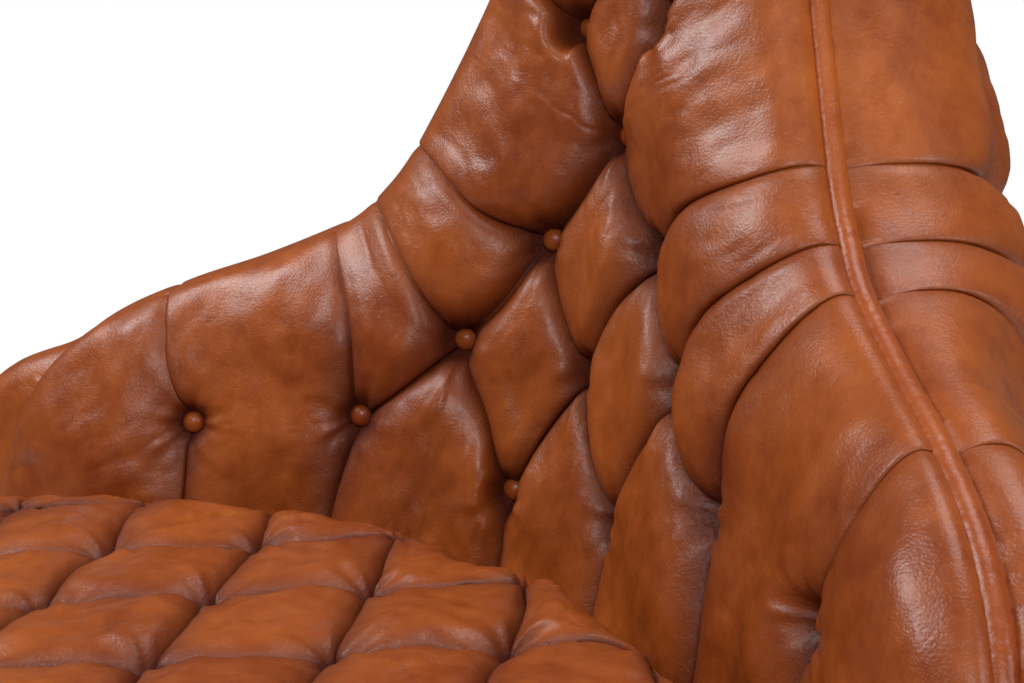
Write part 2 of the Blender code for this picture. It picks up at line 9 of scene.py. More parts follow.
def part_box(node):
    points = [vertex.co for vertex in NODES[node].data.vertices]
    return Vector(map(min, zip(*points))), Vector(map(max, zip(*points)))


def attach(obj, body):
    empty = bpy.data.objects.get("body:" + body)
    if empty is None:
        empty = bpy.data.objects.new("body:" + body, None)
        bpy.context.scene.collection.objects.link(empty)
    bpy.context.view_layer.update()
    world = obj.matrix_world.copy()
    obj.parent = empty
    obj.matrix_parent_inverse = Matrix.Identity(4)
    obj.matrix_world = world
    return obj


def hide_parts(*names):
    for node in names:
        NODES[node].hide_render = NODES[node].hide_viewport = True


# The looks of the deep-buttoned leather armchair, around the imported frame.
#
# The back and arms are one curved wall. A place on it is (around, height) on its middle sheet and a
# distance off the sheet. Each cover is a quilt: named tuft points, pleats between them, and panels that
# puff up between the pleats. The seat is a quilt too, on its plan (x, y) with height as the distance off.

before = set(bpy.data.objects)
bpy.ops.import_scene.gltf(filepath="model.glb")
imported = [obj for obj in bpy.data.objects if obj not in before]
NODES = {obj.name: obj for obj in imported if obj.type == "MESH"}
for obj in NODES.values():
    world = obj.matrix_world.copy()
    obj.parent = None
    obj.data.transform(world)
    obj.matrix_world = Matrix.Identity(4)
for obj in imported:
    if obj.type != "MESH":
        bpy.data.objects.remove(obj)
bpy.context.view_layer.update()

# --- the wall's sheet, as in the CAD source ---
PLAN_SPLAY = 0.95
PLAN_RADIUS = 0.196
SHEET_Y = 0.2583
KNEE_Z = 0.63
LEAN_LOW = 0.20
LEAN_HIGH = 0.10
CREST = (
    (0.000, 0.975),
    (0.070, 0.954),
    (0.1155, 0.891),
    (0.1442, 0.793),
    (0.1904, 0.678),
    (0.2191, 0.630),
    (0.2471, 0.602),
    (0.3010, 0.571),
    (0.3577, 0.545),
    (0.4060, 0.513),
    (0.4375, 0.464),
    (0.4480, 0.394),
    (0.4500, 0.300),
    (0.4500, 0.170),
)
CREST_STEPS = 12
PAD_IN = 0.084  # how far the inner padding stands off the sheet at the back
ARM_THIN = 0.36  # share by which it is thinner on the arms
ARM_THIN_SPAN = (0.17, 0.34)  # the distances round the sheet between which it thins
PAD_OUT = 0.190  # how far the outer padding stands off the sheet, along the scroll
PAD_BASE = 0.100  # and at the base
FLARE_SPAN = (0.22, 0.52)  # the heights between which it flares from one to the other
ARM_SLIM = 0.56  # share by which the scroll is thinner on the arms
ARM_SLIM_SPAN = (0.22, 0.37)
ROLL_IN = 0.0855  # depth over which the padding rolls over to the piping
ROLL_OUT = 0.150
FULL_IN = 2.0  # how full the rolls are: 2 is an ellipse, more is squarer
FULL_OUT = 3.0
CREST_BULGE = 0.017  # how far the rolls on both sides swell past the piping
FRONT_BULGE = 0.072  # and the outer roll at the arm fronts
FRONT_SPAN = (0.47, 0.52)  # between these distances round the sheet
FRONT_TOP_SPAN = (0.505, 0.435)  # and from the first height down to the second
PIPING_R = 0.0065
PIPING_PLUMP = 1.26  # the leather over the cord
PIPING_OUT = 0.0035  # how far the covers push it out
BASE_Z = 0.170
BACKING = 0.0205  # how far off the sheet the backs of the covers lie

PLAN_X = np.linspace(0.0, 0.6, 601)


def plan_dip(x):
    """How far forward of its middle the sheet's plan curve lies at x."""
    return PLAN_SPLAY * (np.hypot(x, PLAN_RADIUS) - PLAN_RADIUS)


def plan_slope(x):
    return PLAN_SPLAY * x / np.hypot(x, PLAN_RADIUS)


def middle_y(z):
    """The sheet's middle line leans back, and less so above the knee."""
    return SHEET_Y + np.where(z < KNEE_Z, LEAN_LOW, LEAN_HIGH) * (z - KNEE_Z)


PLAN_STEP = np.hypot(1.0, plan_slope((PLAN_X[1:] + PLAN_X[:-1]) / 2)) * PLAN_X[1]
PLAN_ROUND = np.concatenate([[0.0], np.cumsum(PLAN_STEP)])


def round_of(x):
    """Distance round the sheet at x."""
    return np.sign(x) * np.interp(abs(x), PLAN_X, PLAN_ROUND)


def wall_place(around, z, off):
    """Points of space for arrays of places on the wall."""
    x = np.sign(around) * np.interp(np.abs(around), PLAN_ROUND, PLAN_X)
    slope = plan_slope(x)
    level = 1.0 / np.hypot(1.0, slope)
    return np.stack([x + off * slope * level, middle_y(z) - plan_dip(x) + off * level, z], axis=-1)


def smooth_line(points, steps):
    """A Catmull-Rom curve through the points."""
    points = np.asarray(points, float)
    ends = np.concatenate([[2 * points[0] - points[1]], points, [2 * points[-1] - points[-2]]])
    line = []
    for a, b, c, d in zip(ends, ends[1:], ends[2:], ends[3:]):
        for t in np.arange(steps) / steps:
            cubic = (3 * b - a - 3 * c + d) * t**3
            line.append((2 * b + (c - a) * t + (2 * a - 5 * b + 4 * c - d) * t**2 + cubic) / 2)
    line.append(points[-1])
    return np.array(line)


def even_line(line, count):
    """The same line with evenly spaced points."""
    far = np.concatenate([[0.0], np.cumsum(np.linalg.norm(np.diff(line, axis=0), axis=1))])
    even = np.linspace(0.0, far[-1], count)
    return np.stack([np.interp(even, far, line[:, i]) for i in range(line.shape[1])], axis=1)


HALF_EDGE = even_line(smooth_line([(round_of(x), z) for x, z in CREST], CREST_STEPS), 321)
WALL_EDGE = np.concatenate([HALF_EDGE[:0:-1] * [-1, 1], HALF_EDGE])


class Rim:
    """An outline in the quilt's plane. Shares run from 0 to 1 along it."""

    def __init__(self, line, closed=False):
        self.line = np.asarray(line, float)
        self.closed = closed
        run = np.gradient(self.line, axis=0)
        if closed:
            run[0] = run[-1] = self.line[1] - self.line[-2]
        run /= np.linalg.norm(run, axis=1)[:, None]
        self.inward = np.stack([run[:, 1], -run[:, 0]], axis=1)

    def at(self, share):
        place = np.asarray(share) % 1.0 if self.closed else np.asarray(share)
        place = place * (len(self.line) - 1)
        steps = np.arange(len(self.line))
        return np.stack([np.interp(place, steps, self.line[:, i]) for i in (0, 1)], axis=-1)

    def share_near(self, point):
        a, b = self.line[:-1], self.line[1:]
        along = b - a
        t = np.clip(((point - a) * along).sum(1) / (along**2).sum(1), 0, 1)
        far = np.linalg.norm(a + along * t[:, None] - point, axis=1)
        best = int(far.argmin())
        return (best + t[best]) / len(a)

    def depth(self, points):
        """Distance inside the rim, and the inward direction there."""
        far = np.full(len(points), np.inf)
        inward = np.zeros_like(points)
        for start in range(0, len(points), 4000):
            p = points[start:start + 4000, None]
            a, b = self.line[None, :-1], self.line[None, 1:]
            along = b - a
            t = np.clip(((p - a) * along).sum(2) / (along**2).sum(2), 0, 1)
            gaps = np.linalg.norm(a + along * t[..., None] - p, axis=2)
            best = gaps.argmin(1)
            rows = np.arange(len(best))
            far[start:start + 4000] = gaps[rows, best]
            share = t[rows, best][:, None]
            mixed = self.inward[best] * (1 - share) + self.inward[best + 1] * share
            inward[start:start + 4000] = mixed / np.linalg.norm(mixed, axis=1)[:, None]
        return far, inward


def ripple(points, scale, seed, waves=9):
    """Smooth, repeatable irregularity of about -1 to 1 with features of the given size."""
    rng = np.random.default_rng(seed)
    total = np.zeros(len(points))
    for _ in range(waves):
        way = rng.normal(size=points.shape[1])
        way *= rng.uniform(0.6, 1.5) / np.linalg.norm(way)
        total += np.sin(points @ way * math.tau / scale + rng.uniform(0, math.tau))
    return total / math.sqrt(waves)


def smooth_step(value, low=0.0, high=1.0):
    """A smooth step from 0 at low to 1 at high."""
    x = np.clip((value - low) / (high - low), 0.0, 1.0)
    return x * x * (3 - 2 * x)


# --- quilts ---
UNIT = 36  # steps along one pleat
END_CLUSTER = 0.78  # how far the steps crowd towards both ends of a pleat between tufts
NODE_CLUSTER = 0.70  # and towards the tuft of a pleat that runs out
EDGE_REACH = 6  # fold widths over which painted shade spreads in from a pleat's edge
LIP_CLEAR = 0.006  # a lip fades out this near the panel's other pleats
GROOVE_MOST = 1.1
DENT_SIZE = 0.115  # long shallow dents
PULL_SIZE = 0.034  # small pulls
CREASE_SIZE = 0.050
FAN_AT = 0.012  # small folds fan out this far from a tuft
FAN_WIDE = 0.020
TUFT_BLEND = 2.45e-5  # how widely, in square metres, a tuft keeps its own depth
TUFT_OUT = 0.27  # share of a pleat over which a tuft's depth runs out, towards the rim
FOOT_OUT = 0.30  # and towards a foot


def steps_between_tufts(count=UNIT):
    k = np.linspace(0, 1, count + 1)
    return (1 - END_CLUSTER) * k + END_CLUSTER * 0.5 * (1 - np.cos(math.pi * k))


def steps_to_rim(count=UNIT):
    k = np.linspace(0, 1, count + 1)
    eased = (1 - NODE_CLUSTER) * k + NODE_CLUSTER * (1 - np.cos(math.pi * k / 2))
    return np.sin(math.pi / 2 * eased)


def steps_to_foot(count=UNIT):
    k = np.linspace(0, 1, count + 1)
    return (1 - NODE_CLUSTER) * k + NODE_CLUSTER * (1 - np.cos(math.pi * k / 2))


class Quilt:
    """Panels between pleats that join tuft points, on one side of a surface."""

    def __init__(self, rim, tufts, rims, feet, style):
        self.rim = rim
        self.tufts = {n: np.array(p[:2], float) for n, p in tufts.items()}
        self.tuft_depth = {n: p[2] for n, p in tufts.items()}
        self.rims = rims
        self.feet = {n: np.array(p, float) for n, p in feet.items()}
        self.style = style
        self.sides = {}
        self.grids = []

    def kind(self, name):
        if name in self.tufts:
            return "tuft"
        return "rim" if name in self.rims else "foot"

    def where(self, name):
        if name in self.tufts:
            return self.tufts[name]
        if name in self.rims:
            return self.rim.at(self.rims[name])
        return self.feet[name]

    def unit(self, a, b, units=1):
        """Points, groove share and notch depth from a to b, the same for both panels that meet there."""
        key = (a, b, units)
        if key in self.sides:
            return self.sides[key]
        if (b, a, units) in self.sides:
            made = self.sides[(b, a, units)]
            return tuple(part[::-1] for part in made)
        s = self.style
        kinds = (self.kind(a), self.kind(b))
        if kinds[1] == "tuft" and kinds[0] != "tuft":
            made = self.unit(b, a, units)
            self.sides[(b, a, units)] = made
            return tuple(part[::-1] for part in made)
        if units == 2:
            half = steps_between_tufts()
            t = np.concatenate([half / 2, 0.5 + half[1:] / 2])
        elif kinds == ("tuft", "rim"):
            t = steps_to_rim()
        elif kinds == ("tuft", "foot"):
            t = steps_to_foot()
        else:
            t = steps_between_tufts()
        start, end = self.where(a), self.where(b)
        if kinds == ("rim", "rim"):
            first, last = self.rims[a], self.rims[b]
            if self.rim.closed and abs(last - first) > 0.5:
                last += 1.0 if last < first else -1.0
            points = self.rim.at(first + (last - first) * t)
        else:
            points = start + (end - start) * t[:, None]
            if kinds[0] == "tuft":
                way = end - start
                across = np.array([-way[1], way[0]])
                bow = s["bow"] * math.sin(7.1 * start.sum() + 11.3 * end[0])
                points = points + across * (bow * np.sin(math.pi * t) ** 2)[:, None]
        if kinds == ("tuft", "tuft"):
            groove = s["pleat"] + (1 - s["pleat"]) * np.abs(2 * t - 1) ** s["pleat_power"]
            notch = s["notch"] * (0.55 + 0.45 * np.sin(math.pi * t))
        elif kinds == ("tuft", "rim"):
            groove = s["roll_groove"] * (1 - t**2) + (1 - s["roll_groove"]) * np.exp(-((t / TUFT_OUT) ** 1.5))
            groove = groove * np.clip((1 - t) / 0.02, 0, 1)
            notch = s["notch"] * 0.8 * (0.6 + 0.4 * np.sin(math.pi * t)) * np.clip((1 - t) / 0.012, 0, 1)
        elif kinds == ("tuft", "foot"):
            groove = s["foot_groove"] + (1 - s["foot_groove"]) * np.exp(-((t / FOOT_OUT) ** 1.5))
            notch = s["notch"] * np.ones_like(t) * 0.8
        elif kinds == ("foot", "foot"):
            ends = s["foot_groove"] + (1 - s["foot_groove"]) * np.exp(-((1.0 / FOOT_OUT) ** 1.5))
            flag = [1.0 if n in s["pleated_feet"] else 0.0 for n in (a, b)]
            ease = flag[0] * np.clip(1 - 2 * t, 0, 1) ** 2 + flag[1] * np.clip(2 * t - 1, 0, 1) ** 2
            groove = ends * ease
            notch = s["notch"] * 0.8 * ease
        else:
            groove = np.zeros_like(t)
            notch = np.zeros_like(t)
        made = (points, groove, notch)
        self.sides[key] = made
        return made

    def side(self, names, units):
        if len(names) == 2:
            return self.unit(names[0], names[1], units)
        parts = [self.unit(a, b) for a, b in zip(names, names[1:])]
        joined = [parts[0]] + [tuple(p[1:] for p in part) for part in parts[1:]]
        return tuple(np.concatenate(items) for items in zip(*joined))

    def is_pleat(self, names):
        return any(self.kind(n) == "tuft" for n in names)

    def loop(self, *names):
        """One panel from the names round it, as in the tables of panels. The first is a corner."""
        corners = [i for i, name in enumerate(names) if not name.endswith("*")]
        ring = [name.rstrip("*") for name in (*names, names[0])]
        self.panel(*[ring[a:b + 1] for a, b in zip(corners, [*corners[1:], len(names)])])

    def panel(self, *chains):
        """One panel from four chains of names, in order round it."""
        units = [max(len(chains[i]), len(chains[(i + 2) % 4])) - 1 for i in range(4)]
        s_side, e_side, n_side, w_side = (self.side(c, u) for c, u in zip(chains, units))
        n_side = tuple(part[::-1] for part in n_side)
        w_side = tuple(part[::-1] for part in w_side)
        s = self.share_along(s_side[0], n_side[0])[:, None]
        t = self.share_along(w_side[0], e_side[0])[None, :]

        def blend(index):
            """A Coons patch between the four sides."""
            low, high = s_side[index], n_side[index]
            left, right = w_side[index], e_side[index]
            extra = (1,) * (low.ndim - 1)
            ss = s.reshape(s.shape + extra)
            tt = t.reshape(t.shape + extra)
            corners = (1 - ss) * (1 - tt) * low[0] + ss * (1 - tt) * low[-1]
            corners = corners + (1 - ss) * tt * high[0] + ss * tt * high[-1]
            between = (1 - tt) * low[:, None] + tt * high[:, None]
            return between + (1 - ss) * left[None] + ss * right[None] - corners

        place, groove, notch = blend(0), blend(1), blend(2)
        chain_s, chain_e, chain_n, chain_w = chains
        bounds = (
            (chain_s, place[:, :1]),
            (chain_e, place[-1:, :]),
            (chain_n, place[:, -1:]),
            (chain_w, place[:1, :]),
        )
        middle = place[place.shape[0] // 2, place.shape[1] // 2]
        st = self.style
        rise = np.ones(place.shape[:2])
        nearest = np.full(place.shape[:2], np.inf)
        slips = []
        for names, line in bounds:
            if not self.is_pleat(names):
                continue
            gap = line - place
            far = np.linalg.norm(gap, axis=2)
            reach = np.clip(far / st["puff"], 0, 1)
            rise *= (1 - (1 - reach) ** st["puff_round"]) ** st["puff_power"]
            core = line.reshape(-1, 2)
            mid = core[len(core) // 2]
            upper = st["over"](middle) > st["over"](mid)
            width = st["lip_width"] if upper else st["fold_width"]
            nearest = np.minimum(nearest, far / width)
            slips.append((upper, far, gap))
        slide = np.zeros_like(place)
        for i, (upper, far, gap) in enumerate(slips):
            if not upper:
                continue
            amount = st["lip"] * (far / st["lip_at"]) * np.exp(1 - far / st["lip_at"])
            for j, (_, other, _) in enumerate(slips):
                if j != i:
                    amount = amount * (1 - np.exp(-((other / LIP_CLEAR) ** 2)))
            slide += gap / np.maximum(far, 1e-9)[..., None] * amount[..., None]
        share = np.clip(groove, 0, GROOVE_MOST) * (1 - rise)
        cut = np.clip(notch, 0, None) * np.exp(-(nearest**2))
        edge = 1 - np.clip(nearest / EDGE_REACH, 0, 1)
        self.grids.append((place, share, cut, slide, rise, edge))

    @staticmethod
    def share_along(a, b):
        """Shares of the way along the mean of two opposite sides."""
        steps = [np.linalg.norm(np.diff(side, axis=0), axis=1) for side in (a, b)]
        shares = [np.concatenate([[0.0], np.cumsum(step)]) / step.sum() for step in steps]
        return (shares[0] + shares[1]) / 2

    def tuft_height(self, places):
        """Depth of the tufts below the puffs, interpolated between tuft points."""
        names = list(self.tufts)
        spots = np.array([self.tufts[n] for n in names])
        depths = np.array([self.tuft_depth[n] for n in names])
        far = ((places[:, None] - spots[None]) ** 2).sum(2)
        weight = 1.0 / (far + TUFT_BLEND) ** 2
        return (weight * depths).sum(1) / weight.sum(1)

    def near_tufts(self, places):
        """Distance to the nearest tuft, the direction from it, and its number."""
        spots = np.array(list(self.tufts.values()))
        gap = places[:, None] - spots[None]
        far = np.linalg.norm(gap, axis=2)
        best = far.argmin(1)
        rows = np.arange(len(best))
        angle = np.arctan2(gap[rows, best, 1], gap[rows, best, 0])
        return far[rows, best], angle, best

    def build(self):
        """Welded arrays: places, groove share, notch cut, slide, puff rise, edge share and faces."""
        flat, quads, start = [], [], 0
        for grid in self.grids:
            rows, cols = grid[0].shape[:2]
            index = start + np.arange(rows * cols).reshape(rows, cols)
            around = (index[:-1, :-1], index[1:, :-1], index[1:, 1:], index[:-1, 1:])
            quads.append(np.stack(around, -1).reshape(-1, 4))
            flat.append([part.reshape(rows * cols, -1) for part in grid])
            start += rows * cols
        parts = [np.concatenate(items) for items in zip(*flat)]
        keys = np.round(parts[0] * 1e6).astype(np.int64)
        _, first, inverse = np.unique(keys, axis=0, return_index=True, return_inverse=True)
        inverse = inverse.reshape(-1)
        faces = inverse[np.concatenate(quads)]
        return [part[first] for part in parts], faces


def roll_arc(ratio, full):
    """Share of the full height at a share of the roll's depth."""
    return np.maximum(1 - (1 - ratio) ** full, 0) ** (1 / full)


def quilt_surface(quilt, place_at, sign, height, roll, seed, bulge=None, full=2.0):
    """Points in space of a built quilt, its faces, and a mask of painted shade in pleats and pits for
    colouring.
    """
    (places, share, cut, slide, rise, edge), faces = quilt.build()
    share, cut, rise, edge = (part[:, 0] for part in (share, cut, rise, edge))
    st = quilt.style
    depth_in, inward = quilt.rim.depth(places)
    ratio = np.clip(depth_in / roll, 0, 1)
    arc = roll_arc(ratio, full)
    height = height(places) if callable(height) else height
    slope = height / roll * (1 - ratio) ** (full - 1) / np.maximum(arc, 1e-3) ** (full - 1)
    lean = 1 / np.hypot(1, slope)
    tuft = quilt.tuft_height(places)
    far, angle, which = quilt.near_tufts(places)
    pit = np.exp(-((far / st["pit"]) ** 3))
    share = share + (1 - share) * pit
    well = st["well"] * np.exp(-((far / st["well_width"]) ** 2))
    phase = which * 2.4
    fans = np.cos(angle * 7 + phase) + 0.7 * np.cos(angle * 12 + 2.1 * phase)
    fan = st["fan"] * fans * np.exp(-(((far - FAN_AT) / FAN_WIDE) ** 2)) * np.clip(far / 0.008, 0, 1)
    open_share = smooth_step(depth_in / 0.02)
    # Long shallow dents and small pulls keep the puffs from looking inflated.
    dent = st["dent"] * ripple(places, DENT_SIZE, seed) * np.clip(rise, 0, 1) * open_share
    pull = st["pull"] * ripple(places, PULL_SIZE, seed + 1) * np.clip(rise, 0, 1) * open_share
    crease = 1 - np.abs(np.clip(ripple(places, CREASE_SIZE, seed + 2), -1, 1))
    crease = -st["crease"] * np.clip(crease - 0.75, 0, 1) * 4 * smooth_step(1 - edge * 0.3) * open_share
    depth = tuft * share + cut + well * share + (fan - dent - pull - crease) * open_share
    off = height * arc - depth * lean
    shift = depth * np.sqrt(np.maximum(1 - lean**2, 0))
    if bulge is not None:
        shift = shift - bulge(places) * np.sin(math.pi * np.clip(arc, 0, 1) ** 0.8) * (1 - ratio)
    across = places + inward * shift[:, None] + slide
    points = place_at(across[:, 0], across[:, 1], sign * off)
    # Painted shade: high in pleat grooves, round tufts and near pleat edges, where the leather is painted
    # darker.
    tuck_shade = np.clip(share * 1.15 + edge * 0.25, 0, 1)
    return points, faces, tuck_shade, places, off


def open_border(faces, count):
    """The directed edges of an open surface that belong to one face only."""
    pairs = np.concatenate([faces[:, [i, (i + 1) % 4]] for i in range(4)])
    keys = pairs[:, 0] * count + pairs[:, 1]
    back_keys = pairs[:, 1] * count + pairs[:, 0]
    return pairs[~np.isin(keys, back_keys)]


def close_back(points, faces, backs):
    """Add a back face behind an open surface and join the two along their border."""
    count = len(points)
    border = open_border(faces, count)
    walls = np.stack([border[:, 1], border[:, 0], border[:, 0] + count, border[:, 1] + count], -1)
    return np.concatenate([points, backs]), np.concatenate([faces, faces[:, ::-1] + count, walls])


def link(name, data):
    """A new object in the scene."""
    obj = bpy.data.objects.new(name, data)
    bpy.context.scene.collection.objects.link(obj)
    return obj


def smooth_object(name, mesh, tuck_shade):
    """A smooth shaded object with an attribute of painted shade for its material."""
    mesh.shade_smooth()
    attribute = mesh.attributes.new("tuck_shade", "FLOAT", "POINT")
    values = np.broadcast_to(tuck_shade, len(mesh.vertices)).astype(np.float32)
    attribute.data.foreach_set("value", values)
    return link(name, mesh)


def mesh_piece(name, points, faces, tuck_shade):
    """A smooth shaded object from points and faces, with its normals outwards."""
    mesh = bpy.data.meshes.new(name)
    mesh.from_pydata(points.tolist(), [], faces)
    mesh.validate()
    bm = bmesh.new()
    bm.from_mesh(mesh)
    bmesh.ops.recalc_face_normals(bm, faces=bm.faces)
    bm.to_mesh(mesh)
    bm.free()
    return smooth_object(name, mesh, tuck_shade)


# --- materials ---
def new_material(name):
    made = bpy.data.materials.new(name)
    made.use_nodes = True
    return made, made.node_tree, made.node_tree.nodes["Principled BSDF"]


def feed(tree, target, inputs):
    """Link or set a node's inputs, given by name or number."""
    for name, value in inputs.items():
        if isinstance(value, bpy.types.NodeSocket):
            tree.links.new(value, target.inputs[name])
        else:
            target.inputs[name].default_value = value


def node(tree, kind, inputs=None, **settings):
    made = tree.nodes.new(kind)
    for name, value in settings.items():
        setattr(made, name, value)
    feed(tree, made, inputs or {})
    return made


def ramp(tree, source, *stops):
    """Colours along a source, from stops of (place, colour)."""
    made = node(tree, "ShaderNodeValToRGB", {0: source})
    elements = made.color_ramp.elements
    while len(elements) < len(stops):
        elements.new(0.5)
    for element, (place, colour) in zip(elements, stops):
        element.position = place
        element.color = (*colour, 1.0)
    return made.outputs[0]


def grey(level):
    return (level,) * 3


def maths(tree, operation, a, b=0.0):
    return node(tree, "ShaderNodeMath", {0: a, 1: b}, operation=operation).outputs[0]


def noise(tree, where, scale, detail=2.0, rough=0.5, distort=0.0):
    inputs = {"Vector": where, "Scale": scale, "Detail": detail, "Roughness": rough, "Distortion": distort}
    return node(tree, "ShaderNodeTexNoise", inputs).outputs["Fac"]


def bump(tree, height, strength, distance, below=None):
    """A bump on top of the one below."""
    inputs = {"Height": height, "Strength": strength, "Distance": distance}
    if below:
        inputs["Normal"] = below
    return node(tree, "ShaderNodeBump", inputs).outputs["Normal"]


LEATHER_MID = (0.200, 0.036, 0.0060)
LEATHER_BRIGHT = (0.385, 0.092, 0.0140)
# the dark brown that pleats and tucks are painted towards, as shade
LEATHER_PAINTED_SHADE = (0.095, 0.012, 0.002)
TRIM_MID = (0.235, 0.042, 0.007)
TRIM_BRIGHT = (0.40, 0.092, 0.014)
GRAIN_CELLS = 620.0  # pebbles to the metre


def leather(name, mid, bright, grain):
    """Burnished tan leather: cloudy dye, painted shade in the pleats and tucks, pebble grain and fine
    creases.
    """
    made, tree, shader = new_material(name)
    where = node(tree, "ShaderNodeTexCoord").outputs["Object"]
    tuck_shade = node(tree, "ShaderNodeAttribute", attribute_name="tuck_shade").outputs["Fac"]
    cloud = noise(tree, where, 9.0, 5.0, 0.6, 0.6)
    mottled = noise(tree, where, 55.0, 5.0, 0.65)
    mottle = maths(tree, "ADD", maths(tree, "MULTIPLY", cloud, 0.62), maths(tree, "MULTIPLY", mottled, 0.38))
    dyed = ramp(tree, mottle, (0.36, mid), (0.68, bright))
    # Painted shade: the dye is mixed towards a dark brown in pleats, pits and tucks, with a little random
    # mottle in the amount.
    stray = maths(tree, "MULTIPLY", maths(tree, "SUBTRACT", mottled, 0.5), 0.35)
    shade = maths(tree, "ADD", tuck_shade, stray)
    shade = ramp(tree, shade, (0.05, grey(0.0)), (0.55, grey(0.62)), (0.95, grey(1.0)))
    colour = node(tree, "ShaderNodeMix", {0: shade, 6: dyed, 7: (*LEATHER_PAINTED_SHADE, 1.0)}, data_type="RGBA")
    rough = maths(tree, "ADD", maths(tree, "MULTIPLY", mottled, 0.24), 0.20)
    rough = maths(tree, "ADD", rough, maths(tree, "MULTIPLY", tuck_shade, 0.30))

    cells = node(tree, "ShaderNodeTexVoronoi", {"Vector": where, "Scale": GRAIN_CELLS}, feature="SMOOTH_F1")
    skin = bump(tree, cells.outputs["Distance"], grain, 0.0005)
    skin = bump(tree, noise(tree, where, 260.0, 3.0, 0.6), 0.30, 0.0006, skin)
    skin = bump(tree, mottled, 0.20, 0.0016, skin)
    folds = noise(tree, where, 75.0, 6.0, 0.62, 1.6)
    ridge = maths(tree, "ABSOLUTE", maths(tree, "SUBTRACT", folds, 0.5))
    fold = ramp(tree, ridge, (0.0, grey(0.0)), (0.045, grey(1.0)))
    tight = maths(tree, "MULTIPLY", maths(tree, "ADD", tuck_shade, 0.22), noise(tree, where, 14.0, 2.0, 0.55))
    feed(tree, shader, {
        "Base Color": colour.outputs[2],
        "Roughness": rough,
        "Specular IOR Level": 0.38,
        "Coat Weight": 0.10,
        "Coat Roughness": 0.22,
        "Normal": bump(tree, fold, tight, 0.0005, skin),
    })
    return made


def wood(name, light, dark, rough, coat=0.0):
    """Straight grained wood with pores."""
    made, tree, shader = new_material(name)
    where = node(tree, "ShaderNodeTexCoord").outputs["Object"]
    stretch = node(tree, "ShaderNodeMapping", {"Vector": where, "Scale": (1.0, 1.0, 0.08)})
    grain = noise(tree, stretch.outputs[0], 90.0, 6.0, 0.5, 0.8)
    feed(tree, shader, {
        "Base Color": ramp(tree, grain, (0.34, dark), (0.68, light)),
        "Roughness": rough,
        "Coat Weight": coat,
        "Coat Roughness": 0.15,
        "Normal": bump(tree, grain, 0.3, 0.0006),
    })
    return made


def woven(name, colour, dark, scale):
    """A plain weave of crossing threads."""
    made, tree, shader = new_material(name)
    where = node(tree, "ShaderNodeTexCoord").outputs["Object"]
    threads = {"Vector": where, "Scale": scale, "Distortion": 0.6, "Detail Scale": 3.0}
    waves = [node(tree, "ShaderNodeTexWave", threads, bands_direction=way).outputs["Fac"] for way in "XY"]
    weave = maths(tree, "MAXIMUM", *waves)
    feed(tree, shader, {
        "Base Color": ramp(tree, weave, (0.2, dark), (0.8, colour)),
        "Roughness": 0.9,
        "Normal": bump(tree, weave, 0.5, 0.0008),
    })
    return made


def metal(name, colour, rough):
    """Drawn steel with fine scratches."""
    made, tree, shader = new_material(name)
    where = node(tree, "ShaderNodeTexCoord").outputs["Object"]
    scratch = maths(tree, "MULTIPLY", noise(tree, where, 400.0), 0.25)
    feed(tree, shader, {
        "Base Color": (*colour, 1.0),
        "Metallic": 1.0,
        "Roughness": maths(tree, "ADD", scratch, rough),
    })
    return made


LEATHER = leather("burnished_leather", LEATHER_MID, LEATHER_BRIGHT, 0.35)
TRIM = leather("trim_leather", TRIM_MID, TRIM_BRIGHT, 0.3)


def dress(obj, material, replaced=()):
    """Give a piece its material and body, and hide the CAD nodes that it stands for."""
    obj.data.materials.clear()
    obj.data.materials.append(material)
    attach(obj, "root")
    if replaced:
        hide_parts(*replaced)
    return obj


# --- the wall's covers ---
# Tuft points of the right half: distance round the sheet, height, and depth off the sheet.
INNER_TUFTS = {
    "F": (0.0000, 0.856, 0.030),
    "E": (0.0680, 0.772, 0.034),
    "D": (0.0000, 0.692, 0.050),
    "C": (0.0775, 0.610, 0.049),
    "b": (0.1505, 0.528, 0.043),
    "B": (0.0000, 0.517, 0.052),
    "a": (0.0805, 0.417, 0.052),
    "g": (0.2330, 0.464, 0.046),
    "k": (0.3820, 0.450, 0.030),
}
OUTER_TUFTS = {
    "F": (0.000, 0.928, 0.080),
    "E": (0.104, 0.812, 0.090),
    "D": (0.000, 0.715, 0.142),
    "H": (0.090, 0.620, 0.142),
    "C": (0.183, 0.658, 0.088),
    "b": (0.215, 0.590, 0.086),
    "B": (0.000, 0.510, 0.138),
    "j": (0.155, 0.500, 0.128),
    "a": (0.080, 0.410, 0.122),
    "g": (0.270, 0.548, 0.076),
    "h": (0.240, 0.420, 0.108),
    "n": (0.335, 0.385, 0.078),
    "k": (0.402, 0.480, 0.052),
}
CREST_ENDS = {"rT": 0.975, "rE": 0.830, "rC": 0.678, "rB": 0.630, "rG": 0.602, "rK": 0.545, "rP": 0.464}
BUTTON_NAMES = {
    "F": "f5", "D": "d5", "B": "b5", "E": ("e", 4), "C": ("c", 4), "b": ("b", 3), "a": ("a", 4),
    "g": ("a", 2), "k": ("a", 0), "H": ("h", 4), "j": ("j", 3), "h": ("h", 2), "n": ("n", 1),
}
MIRROR = "_l"


def mirrored(name):
    """The name of the same point on the left."""
    bare = name.removesuffix("*")
    if bare in ("F", "D", "B", "rT"):
        return name
    other = bare.removesuffix(MIRROR) if bare.endswith(MIRROR) else bare + MIRROR
    return other + name[len(bare):]


def share_at_height(z):
    """Share of the whole wall edge where its right half comes down to height z."""
    return 0.5 + 0.5 * float(np.interp(-z, -HALF_EDGE[:, 1], np.linspace(0, 1, len(HALF_EDGE))))


def inner_pad(places):
    """Thickness of the inner padding off the sheet, less on the arms."""
    return PAD_IN * (1 - ARM_THIN * smooth_step(np.abs(places[:, 0]), *ARM_THIN_SPAN))


